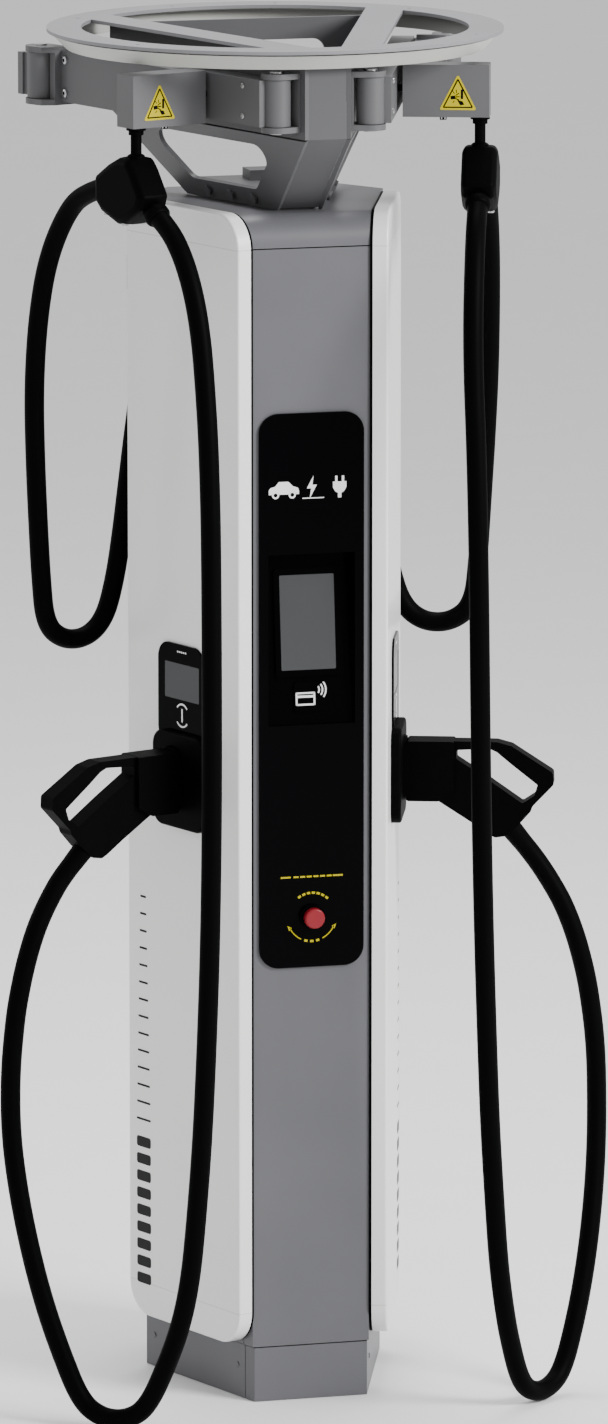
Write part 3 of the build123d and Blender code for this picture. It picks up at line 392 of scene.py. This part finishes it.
UP, DOWN = Vector((0, 0, 1)), Vector((0, 0, -1))
spots = []
for angle in (35, 75, 105, 145, 215, 325):
    x, y = math.cos(math.radians(angle)), math.sin(math.radians(angle))
    spots.append((Vector((SCREW_CIRCLE * x, SCREW_CIRCLE * y, SCREW_Z)), UP))
turned("ring_screws", [(3.9, 0), (3.9, 0.9), (2, 0.9), (1.8, 0.2)], spots, steel, "post",
       20)


# ---------------------------------------------------------------- arms
# Two folding arms of pressed and welded steel in darker grey, on steel pins, each with a square
# box at its end. The box has a rope collar in black, a yellow warning sign and steel screws.
SHOULDER_X, SHOULDER_Y = 83, -318
BOX_FRONT, BOX_MIDDLE, BOX_BOTTOM = 148, 141.8, 2258
SIGN_FOOT, SIGN_TOP = 2271, 2332


def arm(k, a, out, z):
    """Point of a folded arm in millimetres: a along it from its shoulder, and out from it."""
    return Vector((k * (SHOULDER_X + a * SIN + out * COS), SHOULDER_Y + a * COS - out * SIN, z)) / 1000


def on_box(k):
    """Flat place on the front of an end box."""
    return lambda u, v, out: arm(k, BOX_FRONT - out, BOX_MIDDLE + u * k, v)


def triangle(half, low, high, corner):
    """Outline of an upright triangle with round corners."""
    points = []
    for x, y, start in ((half, low, -90), (0, high, 30), (-half, low, 150)):
        rise = corner * 0.9 if y == low else -corner * 1.7
        for i in range(5):
            turn = math.radians(start + 30 * i)
            points.append((x * (1 - corner / half) + corner * math.cos(turn),
                           y + rise + corner * math.sin(turn)))
    return points


arm_grey = material("arm_grey", (0.094, 0.094, 0.098), 0.45, shine=0.35)
sign_ink = material("sign_ink", (0.002, 0.002, 0.002), 0.4, depth=0.02, shine=0.05)
finish(arm_grey, "shoulder_clevises", "inner_link_a", "inner_link_b", "outer_link_a",
       "outer_link_b")
finish(steel, "shoulder_pins", "elbow_pin_a", "elbow_pin_b")
finish(black_plastic, "arm_fittings_a", "arm_fittings_b")
finish(black_rubber, "rope_a", "rope_b")

EDGE_CORNERS = [(0, 2324), (25, 2275.5), (-25, 2275.5)]
edge = [bar(*start, *end, 2.2)
        for start, end in zip(EDGE_CORNERS, EDGE_CORNERS[1:] + EDGE_CORNERS[:1])]
palm = [[(5, 2306), (9, 2307), (9, 2290), (5, 2290)],
        [(-1, 2288), (8, 2286), (11, 2280), (4, 2279)],
        [(-13, 2295), (-5, 2296), (-4, 2290), (-12, 2289)]]
fingers = [bar(-4, 2296, 2, 2300, 1.6), bar(-4, 2293.5, 3, 2294, 1.6), bar(-4, 2291, 2, 2288, 1.6)]
sparks = [bar(-6, 2299, -9, 2304, 1.2), bar(-2, 2300, -3, 2306, 1.2), bar(-6, 2287, -9, 2283, 1.2)]
for tag, k in SIDES:
    outer, inner = "outer_arm_" + tag, "inner_arm_" + tag
    slabs("sign_plate_" + tag, [triangle(31, SIGN_FOOT, SIGN_TOP, 2.5)], on_box(k), 0.05, 0.5,
          sign_yellow, outer)
    slabs("sign_print_" + tag, edge + palm + fingers + sparks, on_box(k), 0.5, 0.75, sign_ink,
          outer)
    outwards = Vector((k * COS, -SIN, 0)).normalized()
    spots = [(arm(k, 526, 84.5, z), outwards) for z in (2276, 2334)]
    turned("link_screws_" + tag, [(7.3, 0), (7.3, 4.2), (6.3, 5), (3.2, 5), (3, 3.6)], spots,
           steel, outer, 24)
    spots = [(arm(k, 173, 115, BOX_BOTTOM), DOWN)]
    turned("box_screw_" + tag, [(6.5, 0), (6.5, 5), (5.6, 7.6), (3, 7.6), (2.8, 5)], spots, steel,
           outer, 6)
    spots = [(arm(k, 50, 36, z), outwards) for z in (2280, 2332)]
    turned("shoulder_screws_" + tag, [(4.5, 0), (4.5, 1.6), (3.6, 2.4), (2, 2.4), (1.8, 1.4)],
           spots, steel, inner, 20)


# ---------------------------------------------------------------- cable clamps
# Moulded black shells in two halves, screwed together round the cables and hung on the rope: the
# faces are crowned, with a cuff at each cable and one at the rope.
ROPE_X, ROPE_Y, CLAMP_TOP = 307, -223, 2208
CLAMP_OUTLINE = [(16, 2208), (-14, 2208), (-31, 2190), (-62, 2145), (-54, 2122), (-2, 2092),
                 (20, 2090), (72, 2108), (92, 2126), (92, 2168), (50, 2193)]
CROWN = ((-31, 0.82), (-25, 0.97), (-8, 1.0), (8, 1.0), (25, 0.97), (31, 0.82))
REAR_CUFF, REAR_AHEAD = (0.337, -0.138, 2.147), (0.357, -0.084, 2.132)
FRONT_CUFF = (0.285, -0.285, 2.112)
FRONT_START, FRONT_AHEAD = (0.282, -0.292, 2.109), (0.259, -0.358, 2.05)


def clamp(k, t, out, z):
    """Point of a clamp in millimetres: t along it from its rope, and out from it."""
    return Vector((k * (ROPE_X + t * SIN + out * COS), ROPE_Y + t * COS - out * SIN, z)) / 1000


def mirrored(point, k):
    """Side k's copy of a point on side B."""
    return Vector((k * point[0], point[1], point[2]))


for tag, k in SIDES:
    outer = "outer_arm_" + tag
    count = len(CLAMP_OUTLINE)
    ct = sum(t for t, _ in CLAMP_OUTLINE) / count
    cz = sum(z for _, z in CLAMP_OUTLINE) / count
    verts, faces = [], []
    for out, share in CROWN:
        verts += [clamp(k, ct + (t - ct) * share, out, cz + (z - cz) * share)
                  for t, z in CLAMP_OUTLINE]
    for r in range(len(CROWN) - 1):
        for i in range(count):
            j = (i + 1) % count
            faces.append([r * count + i, r * count + j, (r + 1) * count + j, (r + 1) * count + i])
    faces.append(list(range(count)))
    faces.append([(len(CROWN) - 1) * count + i for i in reversed(range(count))])
    shell = piece("clamp_shell_" + tag, verts, faces, black_plastic, outer,
                  bevel=0.004)
    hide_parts("cable_clamp_" + tag)
    rear_axis = (mirrored(REAR_AHEAD, k) - mirrored(REAR_CUFF, k)).normalized()
    front_axis = (mirrored(FRONT_AHEAD, k) - mirrored(FRONT_START, k)).normalized()
    cuffs = [(mirrored(REAR_CUFF, k), rear_axis), (mirrored(FRONT_CUFF, k), front_axis)]
    turned("clamp_cuffs_" + tag, [(22, -8), (22.5, 1), (21, 5), (18.2, 7)], cuffs, black_plastic,
           outer, 40)
    turned("rope_cuff_" + tag, [(15, -2), (15, 2), (12.5, 4), (10, 5)],
           [(clamp(k, 0, 0, CLAMP_TOP), UP)], black_plastic, outer, 40)
    spots = [(clamp(k, t, out, z + 3), DOWN) for t, z in ((6, 2091), (60, 2103.5))
             for out in (-19, 19)]
    turned("clamp_screws_" + tag, [(6, 0), (6, 3), (5, 4), (2.6, 4), (2.4, 2.4)], spots, steel,
           outer, 24)


# ---------------------------------------------------------------- cables
# Black rubber cables 35 mm thick. On each side one hangs from the gland behind the post up to the
# clamp, and one from the clamp down and round to the connector.
CABLE_DIAMETER = 0.035
UPPER = [(0.176, 0.207, 1.88), (0.181, 0.204, 1.81), (0.197, 0.194, 1.735), (0.212, 0.182, 1.65),
         (0.226, 0.17, 1.565), (0.239, 0.16, 1.484), (0.252, 0.153, 1.413), (0.272, 0.146, 1.344),
         (0.308, 0.133, 1.312), (0.355, 0.116, 1.312), (0.392, 0.102, 1.344), (0.4, 0.098, 1.43),
         (0.405, 0.096, 1.52), (0.411, 0.091, 1.64), (0.415, 0.083, 1.77), (0.411, 0.064, 1.9),
         (0.4, 0.03, 2.01), (0.377, -0.03, 2.1), (0.357, -0.084, 2.132), (0.337, -0.138, 2.147)]
LOWER = [(0.291, -0.268, 2.121), (0.274, -0.316, 2.097), (0.259, -0.358, 2.05),
         (0.248, -0.389, 1.988), (0.241, -0.409, 1.915), (0.238, -0.424, 1.83),
         (0.237, -0.442, 1.735), (0.237, -0.456, 1.6), (0.238, -0.464, 1.43),
         (0.239, -0.469, 1.24), (0.241, -0.473, 1.05), (0.245, -0.475, 0.86),
         (0.251, -0.474, 0.69), (0.258, -0.471, 0.53), (0.268, -0.467, 0.39),
         (0.277, -0.461, 0.285), (0.29, -0.449, 0.205), (0.308, -0.426, 0.133),
         (0.337, -0.396, 0.046), (0.369, -0.372, 0.019), (0.407, -0.344, 0.019),
         (0.439, -0.32, 0.046), (0.469, -0.297, 0.133), (0.491, -0.275, 0.21),
         (0.51, -0.252, 0.3), (0.525, -0.228, 0.4), (0.533, -0.206, 0.5), (0.532, -0.199, 0.605),
         (0.521, -0.191, 0.7), (0.511, -0.186, 0.75), (0.498, -0.18, 0.8), (0.48, -0.171, 0.85),
         (0.462, -0.162, 0.885), (0.444, -0.156, 0.915), (0.427, -0.151, 0.94),
         (0.41, -0.151, 0.961)]
UPPER_JOINT = (0.411, 0.091, 1.62)
LOWER_JOINT, LOWER_FOOT = (0.238, -0.464, 1.43), (0.388, -0.358, 0.019)


def spline_path(points, k):
    """Smooth line through the middle of a cable, on side k."""
    curve = bpy.data.curves.new("route", "CURVE")
    curve.dimensions = "3D"
    curve.resolution_u = 10
    spline = curve.splines.new("NURBS")
    spline.points.add(len(points) - 1)
    for point, (x, y, z) in zip(spline.points, points):
        point.co = (k * x, y, z, 1)
    spline.order_u = 3
    spline.use_endpoint_u = True
    helper = bpy.data.objects.new("route", curve)
    scene.collection.objects.link(helper)
    seen = helper.evaluated_get(bpy.context.evaluated_depsgraph_get())
    line = bpy.data.meshes.new_from_object(seen)
    path = [v.co.copy() for v in line.vertices]
    bpy.data.objects.remove(helper)
    bpy.data.curves.remove(curve)
    bpy.data.meshes.remove(line)
    return path


def nearest(path, point):
    """Place on a path that is nearest to a point."""
    return min(range(len(path)), key=lambda i: (path[i] - Vector(point)).length)


def cable(name, path, replaced=None, sides=28):
    """Tube of rings along a path, capped, with the join of its rings kept in line."""
    verts, faces = [], []
    across = (path[1] - path[0]).orthogonal().normalized()
    for i, point in enumerate(path):
        ahead = (path[min(i + 1, len(path) - 1)] - path[max(i - 1, 0)]).normalized()
        across = (across - ahead * across.dot(ahead)).normalized()
        other = ahead.cross(across)
        for j in range(sides):
            turn = 2 * math.pi * j / sides
            verts.append(point + (across * math.cos(turn) + other * math.sin(turn)) * CABLE_DIAMETER / 2)
    for i in range(len(path) - 1):
        for j in range(sides):
            m = (j + 1) % sides
            faces.append([i * sides + j, i * sides + m, (i + 1) * sides + m, (i + 1) * sides + j])
    faces.append(list(range(sides)))
    faces.append([(len(path) - 1) * sides + j for j in reversed(range(sides))])
    thing = piece(name, verts, faces, black_rubber, None)
    thing.data.set_sharp_from_angle(angle=math.radians(60))
    if replaced:
        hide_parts(replaced)
    return thing


def length_of(path):
    return sum((b - a).length for a, b in zip(path, path[1:]))


def declare(thing, path):
    """Bakes a stretch of cable's placement into its mesh; its ends and length are worked out but not
    kept.
    """
    tuple(path[0])
    tuple(path[-1])
    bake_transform(thing)
    tuple(path[0])
    round(length_of(path), 3)
    [tuple(p) for p in path]


finish(black_plastic, "cable_glands", "cable_clamp_a", "cable_clamp_b")
finish(black_rubber, "cable_upper_a", "cable_upper_b", "cable_lower_a", "cable_lower_b")
for tag, k in SIDES:
    inner, outer, gun = "inner_arm_" + tag, "outer_arm_" + tag, "gun_" + tag
    path = spline_path(UPPER, k)
    cut = nearest(path, mirrored(UPPER_JOINT, k))
    rear, ahead = path[:cut + 1], path[cut:]
    declare(cable("upper_cable_rear_" + tag, rear, "cable_upper_" + tag), rear)
    declare(cable("upper_cable_front_" + tag, ahead), ahead)
    path = spline_path(LOWER, k)
    cut, low = nearest(path, mirrored(LOWER_JOINT, k)), nearest(path, mirrored(LOWER_FOOT, k))
    top, fall, rise = path[:cut + 1], path[cut:low + 1], path[low:]
    declare(cable("lower_cable_top_" + tag, top, "cable_lower_" + tag), top)
    declare(cable("lower_cable_front_" + tag, fall), fall)
    declare(cable("lower_cable_side_" + tag, rise), rise)


# ---------------------------------------------------------------- floor, light and camera
# Pale plain floor under soft light from all round. A large lamp stands to the front right, with
# weaker ones overhead and behind on the left.
SKY_STRENGTH = 0.82
FLOOR_EDGE, FLOOR_DEPTH = 30, 60
floor = bpy.data.meshes.new("floor")
floor.from_pydata([(-FLOOR_EDGE, -FLOOR_EDGE, 0), (FLOOR_EDGE, -FLOOR_EDGE, 0),
                   (FLOOR_EDGE, FLOOR_DEPTH, 0), (-FLOOR_EDGE, FLOOR_DEPTH, 0)], [], [(0, 1, 2, 3)])
ground = bpy.data.objects.new("floor", floor)
scene.collection.objects.link(ground)
floor.materials.append(material("floor_pale", (0.9, 0.9, 0.9), 0.7, grain=80.0, spread=0.01))

world = scene.world or bpy.data.worlds.new("studio")
scene.world = world
world.use_nodes = True
world.node_tree.nodes["Background"].inputs["Color"].default_value = (1.0, 1.0, 1.0, 1)
world.node_tree.nodes["Background"].inputs["Strength"].default_value = SKY_STRENGTH


def light(name, place, target, size, power):
    """Soft square lamp that faces its target."""
    lamp = bpy.data.lights.new(name, "AREA")
    lamp.size = size
    lamp.energy = power
    thing = bpy.data.objects.new(name, lamp)
    scene.collection.objects.link(thing)
    thing.location = place
    thing.rotation_euler = (Vector(target) - Vector(place)).to_track_quat("-Z", "Y").to_euler()


light("key", (5.5, -6.0, 5.5), (0, 0, 1.2), 3.0, 1150)
light("top", (0.5, 1.5, 7.0), (0, 0, 2.0), 3.0, 320)
light("rim", (-5.0, 4.0, 3.5), (0, 0, 1.4), 2.0, 50)

camera = bpy.data.cameras.new("camera")
camera.sensor_width = 36.0
camera.lens = 249.73
camera.clip_end = 200.0
eye = bpy.data.objects.new("camera", camera)
scene.collection.objects.link(eye)
eye.location = (-4.4638, -16.5302, 4.3131)
eye.rotation_euler = (math.radians(79.652), 0, math.radians(-15.28))
scene.camera = eye
